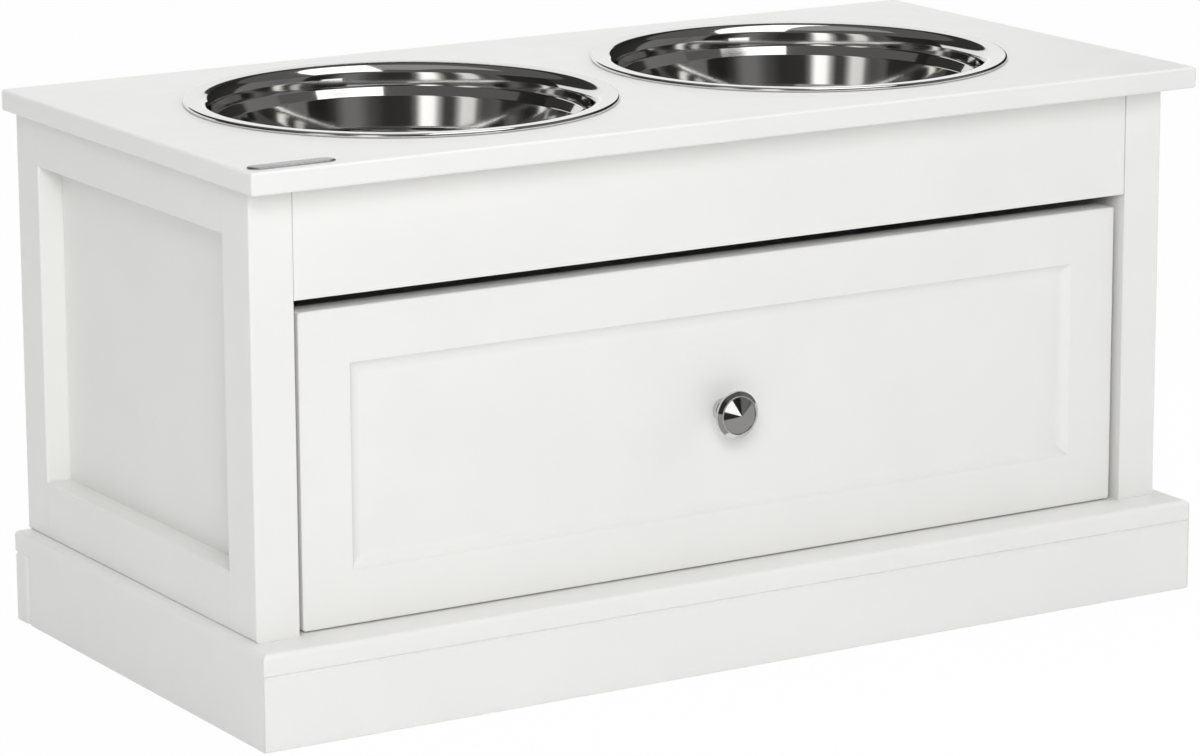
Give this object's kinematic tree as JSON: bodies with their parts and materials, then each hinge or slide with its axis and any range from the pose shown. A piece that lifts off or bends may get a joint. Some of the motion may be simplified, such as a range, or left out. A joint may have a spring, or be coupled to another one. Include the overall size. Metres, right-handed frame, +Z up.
{
  "type": "raised pet feeding stand",
  "caption": "Raised feeding stand with lift-out steel bowls let into its top over an inset storage drawer on rollers, panelled sides and a plinth base.",
  "frame": {"origin": "on the floor under the middle of the base", "axes": "+X to the right along the drawer front, +Y to the back, +Z up"},
  "size_m": [0.6, 0.302, 0.3063],
  "materials": {
    "painted_board": "fibreboard under satin white lacquer",
    "bare_board": "bare fibreboard",
    "bowl_steel": "stainless steel, mirror polished",
    "knob_chrome": "bright plating",
    "runner_enamel": "white enamel on steel sheet",
    "roller_nylon": "white moulded plastic",
    "zinc_steel": "bright zinc plating",
    "zinc_casting": "die-cast zinc",
    "beech": "fluted hardwood dowel"
  },
  "bodies": {
    "cabinet": {"apron_dowels": "beech", "back_panel": "painted_board", "base_board": "painted_board", "base_screws": "zinc_steel", "cabinet_runner_screws": "zinc_steel", "front_apron": "painted_board", "front_axles": "zinc_steel", "left_bottom_rail": "painted_board", "left_cabinet_runner": "runner_enamel", "left_front_stile": "painted_board", "left_plinth_side": "painted_board", "left_rear_stile": "painted_board", "left_side_panel": "painted_board", "left_top_rail": "painted_board", "plinth_blocks": "bare_board", "plinth_front": "painted_board", "plinth_rear": "painted_board", "right_bottom_rail": "painted_board", "right_cabinet_runner": "runner_enamel", "right_front_stile": "painted_board", "right_plinth_side": "painted_board", "right_rear_stile": "painted_board", "right_side_panel": "painted_board", "right_top_rail": "painted_board", "top_board": "painted_board", "top_cam_bolts": "zinc_steel", "top_cams": "zinc_casting", "top_dowels": "beech"},
    "drawer": {"drawer_front": "painted_board", "drawer_back": "painted_board", "drawer_bottom": "painted_board", "drawer_knob": "knob_chrome", "knob_screw": "zinc_steel", "left_drawer_side": "painted_board", "right_drawer_side": "painted_board", "left_drawer_runner": "runner_enamel", "right_drawer_runner": "runner_enamel", "rear_axles": "zinc_steel", "drawer_cam_bolts": "zinc_steel", "drawer_cams": "zinc_casting", "drawer_dowels": "beech", "drawer_runner_screws": "zinc_steel", "drawer_back_screws": "zinc_steel"},
    "left_bowl": {"left_bowl": "bowl_steel"},
    "right_bowl": {"right_bowl": "bowl_steel"},
    "left_front_roller": {"left_front_roller": "roller_nylon"},
    "left_rear_roller": {"left_rear_roller": "roller_nylon"},
    "right_front_roller": {"right_front_roller": "roller_nylon"},
    "right_rear_roller": {"right_rear_roller": "roller_nylon"}
  },
  "joints": [
    {"name": "drawer_slide", "type": "slide", "parent": "cabinet", "child": "drawer", "axis": [0, -1, 0], "range_m": [0, 0.18]},
    {"name": "left_bowl_lift", "type": "slide", "parent": "cabinet", "child": "left_bowl", "axis": [0, 0, 1], "range_m": [0, 0.08]},
    {"name": "right_bowl_lift", "type": "slide", "parent": "cabinet", "child": "right_bowl", "axis": [0, 0, 1], "range_m": [0, 0.08]},
    {"name": "left_front_roller_spin", "type": "hinge", "parent": "cabinet", "child": "left_front_roller", "pos_m": [-0.26025, -0.099, 0.072], "axis": [1, 0, 0], "range_deg": [0, 1215]},
    {"name": "left_rear_roller_spin", "type": "hinge", "parent": "drawer", "child": "left_rear_roller", "pos_m": [-0.26025, 0.1295, 0.07], "axis": [1, 0, 0], "range_deg": [0, 1215]},
    {"name": "right_front_roller_spin", "type": "hinge", "parent": "cabinet", "child": "right_front_roller", "pos_m": [0.26025, -0.099, 0.072], "axis": [1, 0, 0], "range_deg": [0, 1215]},
    {"name": "right_rear_roller_spin", "type": "hinge", "parent": "drawer", "child": "right_rear_roller", "pos_m": [0.26025, 0.1295, 0.07], "axis": [1, 0, 0], "range_deg": [0, 1215]}
  ],
  "couplings": [
    {"joint": "left_front_roller_spin", "follows": "drawer_slide", "rad_per_m": 117.65},
    {"joint": "left_rear_roller_spin", "follows": "drawer_slide", "rad_per_m": 117.65},
    {"joint": "right_front_roller_spin", "follows": "drawer_slide", "rad_per_m": 117.65},
    {"joint": "right_rear_roller_spin", "follows": "drawer_slide", "rad_per_m": 117.65}
  ]
}
